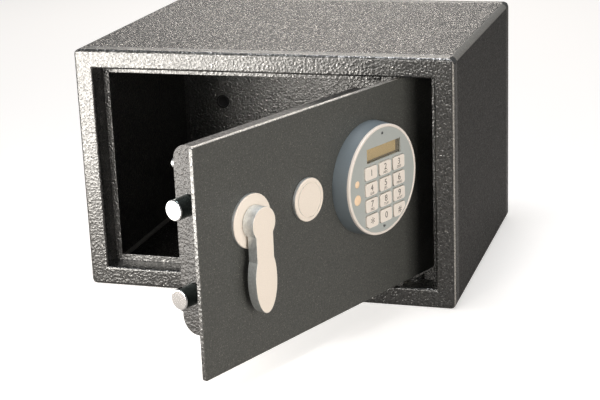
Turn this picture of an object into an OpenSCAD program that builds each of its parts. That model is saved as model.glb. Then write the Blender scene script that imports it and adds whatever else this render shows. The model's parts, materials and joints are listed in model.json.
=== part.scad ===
// Electronic security box: a steel cabinet with a hinged door, two round bolts,
// a turning lever, a key lock under a cover and a round keypad.
// Origin at the centre of the base. X to the right, Y into the cabinet, Z up.
// Door parts are drawn flat, as seen from outside: S runs from the free edge to
// the hinge, N runs into the cabinet from the door's front face, Z is up.

/* [Cabinet] */
// Outside width of the cabinet
body_w = 310; // [304:1:420]
// Outside height of the cabinet
body_h = 200; // [198:1:300]
// Outside depth of the cabinet
body_d = 240; // [180:1:400]
// Steel sheet of the cabinet, front frame and rear panel
sheet_t = 2; // [1.5:0.1:3]
// Radius of the cabinet's long corners
corner_r = 6; // [4:0.5:8]
// Radius of the front and rear edges
edge_r = 3; // [3:0.5:4]
// Depth of the folded skirt of the front frame and of the rear panel
skirt_d = 12; // [8:1:25]

/* [Front frame] */
// Width of the front border round the door opening
frame_border = 16; // [14:0.5:24]
// Radius where the border turns into the opening
mouth_r = 2.5; // [2.5:0.1:3]
// Depth from the border to the door stop
recess_d = 19; // [18:0.5:26]
// Width of the door stop along the left side and the bottom
stop_w = 5; // [3:0.5:8]
// Width of the door stop along the top
stop_top_w = 7; // [3:0.5:7.5]
// Gap between the end of the stops and the hinge axis
stop_hinge_gap = 9; // [9:0.5:14]

/* [Anchor holes] */
// Diameter of the anchor holes
anchor_d = 10; // [6:0.5:14]
// Spacing of the two holes in the rear panel
rear_anchor_spacing = 236; // [100:1:250]
// Spacing of the two holes in the floor
floor_anchor_spacing = 180; // [80:1:250]

/* [Door] */
// Thickness of the door plate
plate_t = 4; // [3:0.5:6]
// Radius of the door plate's corners
plate_corner_r = 1.5; // [0.5:0.1:3]
// Gap between the door plate and the opening, at the sides
door_gap_side = 2; // [1.5:0.1:4]
// Gap between the door plate and the opening, above and below
door_gap_end = 1.5; // [1:0.1:3]
// Gap between the shut door plate and the door stop
stop_gap = 0.5; // [0.3:0.1:1]
// Angle at which the door stands open
door_open = 68; // [0:1:95]

/* [Hinge] */
// Distance from the hinge axis to the door plate's hinge edge
hinge_inset = 29; // [27:0.5:36]
// Distance from the door plate's front face to the hinge axis
hinge_n = 9.5; // [9:0.1:10.5]
// Diameter of the hinge pins
hinge_pin_d = 6; // [5:0.5:7]
// Radius of the rounded back of the hinge blocks
block_r = 7; // [5:0.1:8]
// Height of the hinge blocks
block_h = 20; // [14:1:40]
// Gap from a hinge block to the end of the door plate
block_end_gap = 0.5; // [0:0.1:2]
// Depth that a hinge pin reaches into its block
pin_engage = 14; // [8:1:18]
// Radial clearance of a hinge pin in its block
pin_fit = 0.05; // [0.02:0.01:0.1]
// Thickness of the hinge brackets
bracket_t = 3; // [2:0.5:5]
// Width of the hinge brackets
bracket_w = 28; // [18:1:34]
// Depth of the hinge bracket's tongue
bracket_d = 19; // [16:0.5:30]
// Metal between the hinge pin and the front edge of the tongue
bracket_edge = 3; // [2:0.5:4]
// Depth of the foot that is welded to the cabinet
bracket_foot_d = 16; // [8:1:24]
// Thickness of the hinge washers
washer_t = 1.7; // [1:0.1:1.7]
// Diameter of the hinge washers
washer_d = 10; // [8:0.5:10]
// Thickness of the hinge pin's head
pin_head_t = 2; // [1:0.5:3]
// Diameter of the hinge pin's head
pin_head_d = 10; // [8:0.5:14]

/* [Lock case] */
// Depth of the lock case behind the door plate
case_d = 35; // [35:0.5:45]
// Sheet of the lock case
case_t = 1.2; // [0.8:0.1:1.5]
// Gap from the door plate's free edge to the lock case
case_free_gap = 21.5; // [20:0.5:22]
// Gap from the door plate's hinge edge to the lock case
case_hinge_gap = 61.5; // [50:0.5:62]
// Gap from the door plate's top to the lock case
case_top_gap = 7; // [6.5:0.1:7]
// Gap from the door plate's bottom to the lock case
case_bottom_gap = 21; // [12:0.5:22]
// Radius of the lock case's rear top and bottom edges
case_r = 12; // [6:0.5:13]
// Thread diameter of the case screws
screw_d = 4; // [3:0.5:5]
// Head diameter of the case screws
screw_head_d = 7.5; // [6:0.5:9]
// Head height of the case screws
screw_head_t = 4.5; // [2:0.1:5]
// Distance from the lock case's edges to its screws
screw_inset = 6; // [5.5:0.1:7]

/* [Bolts] */
// Diameter of the bolts
bolt_d = 15; // [12:0.5:15]
// Distance from the door plate's front face to the bolt axes
bolt_n = 27; // [26.5:0.1:28]
// Length of the bolts in front of the bolt bar
bolt_l = 36; // [35:0.5:37]
// Gap from the free edge of the door plate to the drawn-back bolt tip
bolt_tip_gap = 6; // [5:0.1:8]
// Travel of the bolts
bolt_throw = 15; // [10:0.5:15]
// Distance from the top of the lock case to the upper bolt
bolt_drop = 42; // [41.5:0.5:46]
// Distance from the bottom of the lock case to the lower bolt
bolt_rise = 31; // [27:0.5:37]
// Chamfer of the bolt tip
bolt_chamfer = 0.8; // [0.2:0.1:2]
// Thickness of the bolt bar
bar_t = 3; // [2:0.1:3.2]
// Distance from the door plate's front face to the bolt bar's web
bar_n = 14; // [13.8:0.1:14.5]
// Width of the bolt bar
bar_w = 37; // [36:0.5:38]
// Margin of the bolt bar beyond the bolts
bar_margin = 0.5; // [0:0.1:0.8]
// Diameter of the riveted spigot behind each bolt
spigot_d = 8; // [5:0.5:10]
// Diameter of the riveted head behind each bolt
rivet_d = 11; // [10.5:0.1:12]
// Height of the riveted heads
rivet_t = 1.5; // [0.5:0.1:2]
// Thickness of the guide plate for the bolts
guide_t = 3; // [2:0.1:3.2]
// Margin of the guide plate beyond the bolts
guide_margin = 4; // [3:0.5:5]
// Radial clearance of a bolt in the guide plate
bolt_fit = 0.06; // [0.02:0.01:0.1]

/* [Handle] */
// Distance from the free edge to the handle spindle
handle_s = 52.5; // [52:0.5:56]
// Height of the upper bolt above the handle spindle
handle_drop = 15; // [15:0.5:18]
// Turn of the handle that throws the bolts
handle_turn = 60; // [40:1:60]
// Diameter of the lever's hub
hub_d = 23.5; // [20:0.5:28]
// Height of the lever's front face over the door
lever_top = 13; // [11:0.5:18]
// Thickness of the lever's arm
lever_t = 8; // [5:0.5:9]
// Length from the spindle to the lever's tip
lever_l = 65; // [50:1:70]
// Width of the lever's neck
neck_w = 17.5; // [12:0.5:20]
// Width of the lever's paddle
paddle_w = 22.2; // [18:0.1:24]
// Length of the lever's oval paddle
paddle_l = 48; // [30:1:54]
// Diameter of the rosette
rosette_d = 39; // [30:0.5:44]
// Thickness of the rosette
rosette_t = 3; // [2:0.1:4]
// Diameter of the spindle
spindle_d = 10; // [8:0.5:12]
// Metal of the hub in front of the spindle's end
hub_front = 3; // [2:0.1:5]
// Radial clearance of the spindle in its bush
spindle_fit = 0.05; // [0.02:0.01:0.1]
// Wall of the spindle bush
bush_wall = 3; // [2:0.1:4]
// Thickness of the bush's flange
bush_flange_t = 2; // [1:0.1:2.5]
// Width of the bush's flange outside the door plate's hole
bush_flange_w = 3; // [1:0.1:4]
// Thickness of the crank on the spindle
crank_t = 5; // [3:0.1:5.5]
// Gap between the crank and the bolt bar
crank_gap = 1; // [0.5:0.1:1.5]
// Metal of the crank round the spindle
crank_hub_t = 3; // [2:0.1:3.5]
// Metal of the crank round its pin
crank_eye_t = 1.5; // [1:0.1:2]
// Diameter of the crank pin
crank_pin_d = 5; // [4:0.1:5.5]
// Clearance of the crank pin in the bolt bar's slot
slot_gap = 0.5; // [0.4:0.05:0.8]

/* [Solenoid] */
// Distance from the free edge to the plunger
plunger_s = 54; // [53:0.5:56]
// Distance from the door plate's front face to the plunger
plunger_n = 15; // [14:0.5:16]
// Diameter of the plunger
plunger_d = 8; // [6:0.5:9]
// Depth that the resting plunger reaches into the solenoid
plunger_in = 12; // [8:0.5:14]
// Diameter of the plunger's collar under its spring
collar_d = 12; // [10.5:0.1:13]
// Radial clearance of the plunger in the coil
plunger_fit = 0.05; // [0.02:0.01:0.1]
// Lift of the plunger
plunger_lift = 1.5; // [1:0.1:2]
// Width of the solenoid frame
sol_w = 20; // [16:0.5:22]
// Depth of the solenoid frame
sol_d = 22; // [20:0.5:24]
// Height of the solenoid frame
sol_h = 23.5; // [20:0.5:23.5]
// Steel strip of the solenoid frame
sol_t = 1.5; // [1:0.1:2]
// Gap from the bolt bar to the solenoid frame
sol_gap = 8.2; // [7.5:0.1:8.2]
// Diameter of the plunger spring's wire
spring_wire = 0.6; // [0.4:0.1:0.8]
// Turns of the plunger spring
spring_turns = 3; // [2:1:4]

/* [Key lock] */
// Share of the free width between handle and keypad that lies before the key lock
lock_share = 0.65; // [0.5:0.01:0.7]
// Height of the handle spindle above the key lock
lock_drop = 1; // [-4:0.5:8]
// Diameter of the key lock's barrel
barrel_d = 19; // [16:0.5:22]
// Length of the key lock's barrel
barrel_l = 24; // [18:0.5:26]
// Diameter of the key lock's head
lock_head_d = 23; // [21:0.5:26]
// Height of the key lock's head over the door
lock_head_t = 1; // [1:0.1:1.8]
// Width of the key lock's nut across its corners
lock_nut_d = 28; // [26:0.5:30]
// Thickness of the key lock's nut
lock_nut_t = 4; // [2:0.1:6]
// Diameter of the turning plug
plug_d = 12; // [10:0.5:13]
// Radial clearance of the plug
plug_fit = 0.05; // [0.02:0.01:0.1]
// Width of the keyway
keyway_w = 1.6; // [1:0.1:2.5]
// Height of the keyway
keyway_h = 7.2; // [5:0.1:8]
// Depth of the keyway behind the door's front face
keyway_n = 6; // [4:0.5:16]
// Reach of the lock cam
cam_l = 22; // [14:0.5:24]
// Width of the lock cam
cam_w = 9; // [6:0.5:12]
// Thickness of the lock cam
cam_t = 2; // [1.5:0.1:3]
// Diameter of the cover over the key lock
cap_d = 32; // [29:0.5:40]
// Height of the cover over the door
cap_t = 3.2; // [3.2:0.1:5]
// Wall of the cover
cap_wall = 0.9; // [0.6:0.05:0.9]
// Diameter of the ring groove in the cover
cap_ring_d = 25; // [18:0.5:27]

/* [Keypad] */
// Distance from the door plate's hinge edge to the keypad's centre
pad_hinge_gap = 87; // [82:0.5:92]
// Distance from the door plate's top to the keypad's centre
pad_drop = 67; // [62:0.5:82]
// Diameter of the keypad at its front
pad_d = 84; // [84:0.5:90]
// Growth of the keypad's diameter towards the door
pad_draft = 2.4; // [0:0.1:4]
// Height of the keypad over the door
pad_h = 15; // [15:0.1:20]
// Wall of the keypad housing
pad_wall = 2; // [1.5:0.1:2.5]
// Width of the pale rim
rim_w = 2.2; // [2:0.1:3]
// Height of the pale rim
rim_h = 2.4; // [2:0.1:2.8]
// Width of the ledge that carries the circuit board
ledge_w = 7; // [5:0.5:9]
// Diameter of the posts under the face screws
post_d = 4.8; // [4:0.1:5.5]
// Thickness of the face plate
face_t = 1.6; // [1:0.1:1.8]
// Depth of the face plate below the rim
face_drop = 0.5; // [0.2:0.1:1]
// Width of a key
key_w = 14.4; // [10:0.1:15]
// Height of a key
key_h = 10; // [6:0.1:10.4]
// Corner radius of a key
key_r = 2; // [0.5:0.1:3]
// Distance between key columns
key_pitch_s = 17.2; // [17:0.1:18]
// Distance between key rows
key_pitch_z = 12.3; // [12.2:0.05:12.6]
// Offset of the key block towards the hinge
keys_s = 2; // [0:0.1:2.5]
// Offset of the key block below the keypad's centre
keys_z = 9.3; // [8:0.1:10]
// Height of a key over the face plate
key_proud = 1.1; // [0.5:0.1:2]
// Travel of a key
key_travel = 1; // [0.5:0.1:1.2]
// Width of the display window
lcd_w = 42; // [36:0.5:44]
// Height of the display window
lcd_h = 10.7; // [8:0.1:12]
// Height of the display above the keypad's centre
lcd_z = 22; // [20:0.1:23]
// Distance from the keypad's centre to the status lenses
lens_s = 31.4; // [30:0.1:33]
// Diameter of the small status lens
lens_small_d = 5.4; // [3:0.1:6]
// Diameter of the large status lens
lens_large_d = 8; // [5:0.1:9]
// Height of the small lens above the keypad's centre
lens_small_z = 4; // [2:0.1:6]
// Height of the large lens above the keypad's centre
lens_large_z = -8; // [-12:0.1:-6]
// Distance from the keypad's centre to its face screws
pad_screw_z = 36; // [35:0.1:36.5]
// Head diameter of the face screws
pad_screw_d = 2.2; // [1.5:0.1:3]
// Thickness of the circuit board
board_t = 1.6; // [1:0.1:2]
// Distance from the door's front face to the circuit board
board_n = 6; // [5:0.1:6.2]
// Diameter of the cable hole behind the keypad
cable_hole_d = 16; // [8:0.5:30]

/* [Power] */
// Diameter of a battery cell
cell_d = 14.3; // [13.5:0.1:14.5]
// Length of a battery cell
cell_l = 50.5; // [48:0.1:52]
// Room for the battery contacts at the ends of the cells
contact_room = 4.5; // [3:0.1:5]
// Distance between battery cells
cell_pitch = 15; // [14.8:0.1:15.4]
// Number of battery cells
cell_count = 4; // [2:1:4]
// Wall of the battery box
bat_wall = 1.5; // [1:0.1:2]
// Gap from the battery box to the lock case's hinge end
bat_gap = 5.5; // [3:0.5:8]
// Height of the battery box above the bottom of the lock case
bat_rise = 21.5; // [19:0.5:24]
// Thickness of the battery cover
cover_t = 1.5; // [1:0.1:2.5]
// Border of the battery cover round its opening
cover_border = 2; // [1:0.1:2.5]
// Gap from the battery box to the reset switch
reset_gap = 8.8; // [4:0.1:14]
// Distance from the bottom of the lock case to the reset switch
reset_rise = 33.5; // [21:0.5:38]
// Diameter of the reset button
reset_d = 6; // [4:0.5:8]
// Length of the reset switch's body inside the case
reset_body_l = 11; // [8:0.5:14]
// Travel of the reset button
reset_travel = 1.2; // [0.8:0.1:1.5]

/* [Hidden] */
$fn = 64;
eps = 0.01;
// Gap left between pieces that move past or rest on each other
seat = 0.3;

paint = "dimgray";
front_y = -body_d / 2;
mid_z = body_h / 2;
open_w = body_w - 2 * frame_border;
open_h = body_h - 2 * frame_border;

door_w = open_w - 2 * door_gap_side;
door_h = open_h - 2 * door_gap_end;
door_z0 = mid_z - door_h / 2;
door_z1 = mid_z + door_h / 2;
plate_y = front_y + recess_d - stop_gap - plate_t;
hinge_s = door_w - hinge_inset;
hinge_x = door_w / 2 - hinge_inset;
hinge_y = plate_y + hinge_n;
stop_end_x = hinge_x - stop_hinge_gap;

block_z1 = door_z1 - block_end_gap;
tongue_top_z = mid_z + open_h / 2;
tongue_y = hinge_y - hinge_pin_d / 2 - bracket_edge;

case_s0 = case_free_gap;
case_s1 = door_w - case_hinge_gap;
case_z0 = door_z0 + case_bottom_gap;
case_z1 = door_z1 - case_top_gap;
case_n = plate_t + case_d;
screw_rows = [case_z0 + case_r + screw_head_d / 2, case_z1 - case_r - screw_head_d / 2];

bolt_up_z = case_z1 - bolt_drop;
bolt_low_z = case_z0 + bolt_rise;
bar_s = bolt_tip_gap + bolt_l;
bar_z1 = bolt_up_z + bolt_d / 2;
bar_z0 = bolt_low_z - bolt_d / 2 - bar_margin;
handle_z = bolt_up_z - handle_drop;
crank_r = bolt_throw / 2 / sin(handle_turn / 2);
crank_n1 = bar_n - crank_gap;
crank_n0 = crank_n1 - crank_t;
slot_w = crank_pin_d + 2 * slot_gap;
slot_low = crank_r * cos(handle_turn / 2);
guide_s = case_s0 + case_t;

sol_z0 = bar_z1 + sol_gap;
plunger_z0 = bar_z1 + seat;
collar_z = plunger_z0 + 2;
collar_t = 1;
plunger_z1 = sol_z0 + plunger_in;

lock_z = handle_z - lock_drop;
plug_n0 = -lock_head_t + seat;
plug_n1 = barrel_l + seat;

pad_s = door_w - pad_hinge_gap;
pad_z = door_z1 - pad_drop;
pad_r = pad_d / 2;
pad_back_r = pad_r + pad_draft / 2;
lock_s0 = handle_s + rosette_d / 2 + cap_d / 2;
lock_s1 = pad_s - pad_back_r - cap_d / 2;
lock_s = lock_s0 + (lock_s1 - lock_s0) * lock_share;
rim_n = -pad_h + rim_h;
face_r = pad_r - rim_w;
face_n = -pad_h + face_drop;
face_back = face_n + face_t;
key_flange = 0.8;
key_flange_t = 1;
key_flange_n = face_back + seat;
board_front = -board_n - board_t;
board_edge = 0.3;
switch_t = 1;
switch_n = board_front - switch_t - 0.5;
key_stem_n = switch_n - seat - key_travel;
// Strip of the face plate that stays outside the corner keys
key_clip_r = face_r - 1.8;
pad_shank_d = pad_screw_d - 0.6;
window_t = 0.8;
window_lap = 1;

bat_in_w = cell_count * cell_pitch + 1;
bat_in_h = cell_l + contact_room;
bat_s1 = case_s1 - case_t - bat_gap;
bat_s0 = bat_s1 - bat_in_w - 2 * bat_wall;
bat_mid_s = (bat_s0 + bat_s1) / 2;
bat_mid_z = case_z0 + bat_rise + bat_wall + bat_in_h / 2;
cell_n = case_n - case_t - seat - 0.9 - cell_d / 2;
bat_n0 = cell_n - cell_d / 2 - 0.1 - bat_wall;
reset_body_r = reset_d / 2 + 2;
reset_s = bat_s0 - reset_gap - reset_body_r;
reset_z = case_z0 + reset_rise;
reset_n0 = case_n - reset_body_l;
reset_floor_n = reset_n0 + 3;
reset_lip_n = case_n + 0.8;

// Upright outline in X and Z, made solid from y0 to y1
module slab(y0, y1) {
  translate([0, y1, 0])
    rotate([90, 0, 0])
      linear_extrude(y1 - y0) children();
}

// Outline in Y and Z, made solid from x0 to x1
module along_x(x0, x1) {
  translate([x0, 0, 0])
    rotate([90, 0, 90])
      linear_extrude(x1 - x0) children();
}

// Half outline of radius and depth, turned about an axis along Y
module turned(x, z) {
  translate([x, 0, z])
    rotate([-90, 0, 0])
      rotate_extrude() children();
}

module round_rect(w, h, r) {
  translate([-w / 2 + r, -h / 2]) square([w - 2 * r, h]);
  translate([-w / 2, -h / 2 + r]) square([w, h - 2 * r]);
  for (x = [-w / 2 + r, w / 2 - r], y = [-h / 2 + r, h / 2 - r])
    translate([x, y]) circle(r);
}

// Rectangle from x0 to x1 and y0 to y1 with its two low corners rounded
module arch(x0, x1, y0, y1, r0, r1) {
  difference() {
    translate([x0, y0]) square([x1 - x0, y1 - y0]);
    translate([x0 - 1, y0 - 1]) square(r0 + 1);
    translate([x1 - r1, y0 - 1]) square(r1 + 1);
  }
  intersection() {
    translate([x0, y0]) square(r0 + eps);
    translate([x0 + r0, y0 + r0]) circle(r0);
  }
  intersection() {
    translate([x1 - r1 - eps, y0]) square(r1 + eps);
    translate([x1 - r1, y0 + r1]) circle(r1);
  }
}

module in_door() {
  translate([hinge_x, hinge_y, 0])
    rotate([0, 0, door_open])
      translate([-hinge_s, -hinge_n, 0]) children();
}

// Cabinet

module cabinet_outline(inset) {
  translate([0, mid_z]) round_rect(body_w - 2 * inset, body_h - 2 * inset, corner_r - inset);
}

module anchor_pair(spacing) {
  for (side = [-1, 1]) translate([side * spacing / 2, 0]) circle(d = anchor_d);
}

module body_shell() {
  color(paint) difference() {
    slab(front_y + skirt_d, body_d / 2 - skirt_d) difference() {
      cabinet_outline(0);
      cabinet_outline(sheet_t);
    }
    translate([0, 0, -1]) linear_extrude(2 * sheet_t + 1) anchor_pair(floor_anchor_spacing);
  }
}

// Box round the middle of the cabinet with its edges at the front rounded
module rounded_front(w, h, r, y0, y1) {
  intersection() {
    linear_extrude(body_h) arch(-w / 2, w / 2, y0, y1, r, r);
    along_x(-w / 2, w / 2) rotate(90) mirror([0, 1]) arch(mid_z - h / 2, mid_z + h / 2, y0, y1, r, r);
  }
}

// Outline that keeps its width at the back and turns outwards at y0
module flare(x0, x1, y0, y1, r) {
  translate([x0, y0]) square([x1 - x0, y1 - y0]);
  difference() {
    translate([x0 - r, y0 - 1]) square([x1 - x0 + 2 * r, r + 1]);
    for (x = [x0 - r, x1 + r]) translate([x, y0 + r]) circle(r);
  }
}

// Passage through the cabinet's front whose edges turn outwards at y0
module flared_hole(w, h, r, y0, y1) {
  intersection() {
    linear_extrude(body_h) flare(-w / 2, w / 2, y0, y1, r);
    along_x(-body_w / 2, body_w / 2)
      rotate(90) mirror([0, 1]) flare(mid_z - h / 2, mid_z + h / 2, y0, y1, r);
  }
}

module front_frame() {
  stop_y = front_y + recess_d;
  wall_w = open_w + 2 * sheet_t;
  wall_h = open_h + 2 * sheet_t;
  color(paint) difference() {
    union() {
      intersection() {
        slab(front_y, front_y + skirt_d) cabinet_outline(0);
        rounded_front(body_w, body_h, edge_r, front_y, front_y + skirt_d + 1);
      }
      translate([-wall_w / 2, front_y + mouth_r, mid_z - wall_h / 2])
        cube([wall_w, recess_d + sheet_t - mouth_r, wall_h]);
    }
    difference() {
      intersection() {
        slab(front_y + sheet_t, front_y + skirt_d + 1) cabinet_outline(sheet_t);
        rounded_front(body_w - 2 * sheet_t, body_h - 2 * sheet_t, edge_r - sheet_t,
                      front_y + sheet_t, front_y + skirt_d + 2);
      }
      flared_hole(wall_w, wall_h, mouth_r - sheet_t, front_y + sheet_t, stop_y + sheet_t + 1);
    }
    flared_hole(open_w, open_h, mouth_r, front_y, stop_y);
    translate([stop_w - open_w / 2, stop_y - 1, mid_z - open_h / 2 + stop_w])
      cube([open_w - stop_w, sheet_t + 2, open_h - stop_w - stop_top_w]);
    translate([stop_end_x, stop_y - 1, mid_z - open_h / 2])
      cube([open_w / 2 - stop_end_x, sheet_t + 2, open_h]);
    translate([hinge_x - bracket_w / 2 - seat, tongue_y - seat, mid_z - wall_h / 2 - 1])
      cube([bracket_w + 2 * seat, recess_d, wall_h + 2]);
  }
}

module rear_panel() {
  color(paint) difference() {
    mirror([0, 1, 0]) intersection() {
      slab(front_y, front_y + skirt_d) cabinet_outline(0);
      rounded_front(body_w, body_h, edge_r, front_y, front_y + skirt_d + 1);
    }
    slab(0, body_d / 2 - sheet_t) cabinet_outline(sheet_t);
    slab(0, body_d) translate([0, mid_z]) anchor_pair(rear_anchor_spacing);
  }
}

// Hinge: bent brackets in the cabinet hold the pins, blocks on the door turn on them

module bracket_section() {
  z0 = mid_z + open_h / 2;
  z1 = body_h - sheet_t;
  y1 = tongue_y + bracket_d;
  translate([tongue_y, z0]) square([bracket_d, bracket_t]);
  translate([y1 - bracket_t, z0]) square([bracket_t, z1 - z0]);
  translate([y1 - bracket_t, z1 - bracket_t]) square([bracket_foot_d + bracket_t, bracket_t]);
}

module hinge_bracket_upper() {
  color(paint) difference() {
    along_x(hinge_x - bracket_w / 2, hinge_x + bracket_w / 2) bracket_section();
    translate([hinge_x, hinge_y, mid_z]) cylinder(h = mid_z, d = hinge_pin_d);
  }
}

module hinge_pin_upper() {
  z1 = tongue_top_z + bracket_t;
  color("silver") translate([hinge_x, hinge_y, 0]) {
    translate([0, 0, block_z1 - pin_engage])
      cylinder(h = z1 - block_z1 + pin_engage + eps, d = hinge_pin_d);
    translate([0, 0, z1]) cylinder(h = pin_head_t, d = pin_head_d);
  }
}

module upside_down() {
  translate([0, 0, body_h]) mirror([0, 0, 1]) children();
}

module hinge_bracket_lower() { upside_down() hinge_bracket_upper(); }
module hinge_pin_lower() { upside_down() hinge_pin_upper(); }

module hinge_washer() {
  translate([hinge_x, hinge_y, tongue_top_z - washer_t]) difference() {
    cylinder(h = washer_t, d = washer_d);
    translate([0, 0, -1]) cylinder(h = washer_t + 2, d = hinge_pin_d);
  }
}

module hinge_washers() {
  color("white") {
    hinge_washer();
    upside_down() hinge_washer();
  }
}

module hinge_block_upper() {
  color(paint) in_door() difference() {
    translate([hinge_s, 0, block_z1 - block_h]) linear_extrude(block_h) intersection() {
      translate([-block_r, plate_t]) square([2 * block_r, hinge_n - plate_t + block_r]);
      union() {
        translate([0, hinge_n]) circle(block_r);
        translate([-block_r, plate_t]) square([2 * block_r, hinge_n - plate_t]);
      }
    }
    translate([hinge_s, hinge_n, block_z1 - pin_engage - seat])
      cylinder(h = pin_engage + 1, r = hinge_pin_d / 2 + pin_fit);
  }
}

module hinge_block_lower() { upside_down() hinge_block_upper(); }

// Door plate and lock case

module door_plate() {
  color(paint) in_door() slab(0, plate_t) difference() {
    translate([door_w / 2, mid_z]) round_rect(door_w, door_h, plate_corner_r);
    translate([handle_s, handle_z]) circle(spindle_d / 2 + bush_wall);
    translate([lock_s, lock_z]) circle(d = barrel_d);
    translate([pad_s, pad_z]) circle(d = cable_hole_d);
  }
}

// Section of the lock case in N and Z, with its two rear edges rounded
module case_section(inset) {
  r = case_r - inset;
  n1 = case_n - inset;
  z0 = case_z0 + inset;
  z1 = case_z1 - inset;
  translate([plate_t, z0]) square([n1 - r - plate_t, z1 - z0]);
  translate([plate_t, z0 + r]) square([n1 - plate_t, z1 - z0 - 2 * r]);
  for (z = [z0 + r, z1 - r]) translate([n1 - r, z]) circle(r);
}

module at_case_screws() {
  for (s = [case_s0 + screw_inset, case_s1 - screw_inset], z = screw_rows)
    translate([s, z]) children();
}

module lock_case() {
  color(paint) in_door() difference() {
    along_x(case_s0, case_s1) case_section(0);
    along_x(case_s0 + case_t, case_s1 - case_t) case_section(case_t);
    translate([0, plate_t - 1, 0])
      along_x(case_s0 + case_t, case_s1 - case_t)
        translate([0, case_z0 + case_t]) square([2, case_z1 - case_z0 - 2 * case_t]);
    for (z = [bolt_up_z, bolt_low_z])
      translate([case_s0 - 1, bolt_n, z])
        rotate([0, 90, 0]) cylinder(h = case_t + 2, r = bolt_d / 2 + seat);
    slab(case_n - case_t - 1, case_n + 1) {
      at_case_screws() circle(d = screw_d);
      translate([bat_mid_s, bat_mid_z]) round_rect(bat_in_w, bat_in_h, 1);
      translate([reset_s, reset_z]) circle(reset_body_r);
    }
  }
}

module case_screws() {
  color("silver") in_door() {
    slab(plate_t, case_n) at_case_screws() circle(d = screw_d);
    slab(case_n, case_n + screw_head_t) at_case_screws() difference() {
      circle(d = screw_head_d);
      square([screw_head_d * 0.75, 1], center = true);
    }
  }
}

// Handle: the lever turns the spindle, and its crank moves the bolt bar

module lever_outline() {
  middle = lever_l - paddle_l / 2;
  translate([-neck_w / 2, -middle]) square([neck_w, middle]);
  polygon([for (a = [0:7.5:352.5]) [paddle_w / 2 * cos(a), paddle_l / 2 * sin(a) - middle]]);
}

module lever_handle() {
  color("linen") in_door() difference() {
    union() {
      slab(-lever_top, -rosette_t - seat)
        translate([handle_s, handle_z]) circle(d = hub_d);
      slab(-lever_top, lever_t - lever_top)
        translate([handle_s, handle_z]) lever_outline();
    }
    slab(hub_front - lever_top, 0) translate([handle_s, handle_z]) circle(d = spindle_d);
  }
}

module handle_spindle() {
  color("silver") in_door()
    slab(hub_front - lever_top, crank_n1) translate([handle_s, handle_z]) circle(d = spindle_d);
}

module spindle_crank() {
  color("silver") in_door() translate([handle_s, 0, handle_z]) {
    slab(crank_n0, crank_n1) difference() {
      rotate(-handle_turn / 2) {
        circle(spindle_d / 2 + crank_hub_t);
        translate([-crank_pin_d / 2 - crank_eye_t, 0])
          square([crank_pin_d + 2 * crank_eye_t, crank_r]);
        translate([0, crank_r]) circle(crank_pin_d / 2 + crank_eye_t);
      }
      circle(d = spindle_d);
    }
    slab(crank_n1, bar_n + bar_t + crank_gap)
      rotate(-handle_turn / 2) translate([0, crank_r]) circle(d = crank_pin_d);
  }
}

module handle_rosette() {
  r = rosette_d / 2;
  hole_r = spindle_d / 2 + seat;
  color("linen") in_door() turned(handle_s, handle_z)
    polygon([[hole_r, 0], [r, 0], [r, -rosette_t + 1], [r - 0.3, -rosette_t + 0.3],
             [r - 1, -rosette_t], [hole_r, -rosette_t]]);
}

module spindle_bush() {
  inner = spindle_d / 2 + spindle_fit;
  outer = spindle_d / 2 + bush_wall;
  color("ivory") in_door() turned(handle_s, handle_z)
    polygon([[inner, 0], [outer, 0], [outer, plate_t], [outer + bush_flange_w, plate_t],
             [outer + bush_flange_w, plate_t + bush_flange_t], [inner, plate_t + bush_flange_t]]);
}

// Bolt bar with its two bolts, and the guide plate behind the door

module bolt_bar() {
  h = bar_z1 - bar_z0;
  notch_w = plunger_d + 2 * seat + 1;
  color("silver") in_door() difference() {
    translate([bar_s, bar_n, bar_z0]) {
      cube([bar_w, bar_t, h]);
      cube([bar_t, bolt_n + bolt_d / 2 - bar_n, h]);
    }
    slab(bar_n - 1, bar_n + bar_t + 1) {
      translate([handle_s + bolt_throw / 2, handle_z]) {
        translate([-slot_w / 2, slot_low]) square([slot_w, crank_r - slot_low]);
        for (z = [slot_low, crank_r]) translate([0, z]) circle(d = slot_w);
      }
      translate([plunger_s + bolt_throw - notch_w / 2, bar_z1 - 4]) square([notch_w, 5]);
    }
    for (z = [bolt_up_z, bolt_low_z]) translate([bar_s - 1, bolt_n, z])
      rotate([0, 90, 0]) cylinder(h = bar_t + 2, d = spigot_d);
  }
}

module bolt(z) {
  color("gainsboro") in_door() translate([bolt_tip_gap, bolt_n, z]) rotate([0, 90, 0]) {
    cylinder(h = bolt_chamfer, r1 = bolt_d / 2 - bolt_chamfer, r2 = bolt_d / 2);
    translate([0, 0, bolt_chamfer]) cylinder(h = bolt_l - bolt_chamfer, d = bolt_d);
    translate([0, 0, bolt_l]) cylinder(h = bar_t, d = spigot_d);
    translate([0, 0, bolt_l + bar_t]) cylinder(h = rivet_t, d = rivet_d);
  }
}

module bolt_upper() { bolt(bolt_up_z); }
module bolt_lower() { bolt(bolt_low_z); }

module bolt_guide() {
  z0 = bolt_low_z - bolt_d / 2 - guide_margin;
  z1 = bolt_up_z + bolt_d / 2 + guide_margin;
  color("silver") in_door() difference() {
    translate([guide_s, plate_t, z0])
      cube([guide_t, case_d - case_t - 0.5, z1 - z0]);
    for (z = [bolt_up_z, bolt_low_z]) translate([guide_s - 1, bolt_n, z])
      rotate([0, 90, 0]) cylinder(h = guide_t + 2, r = bolt_d / 2 + bolt_fit);
  }
}

// Solenoid: its plunger rides on the bolt bar and drops into the notch when the bolts are out

module at_plunger(z) {
  translate([plunger_s, plunger_n, z]) children();
}

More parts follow.
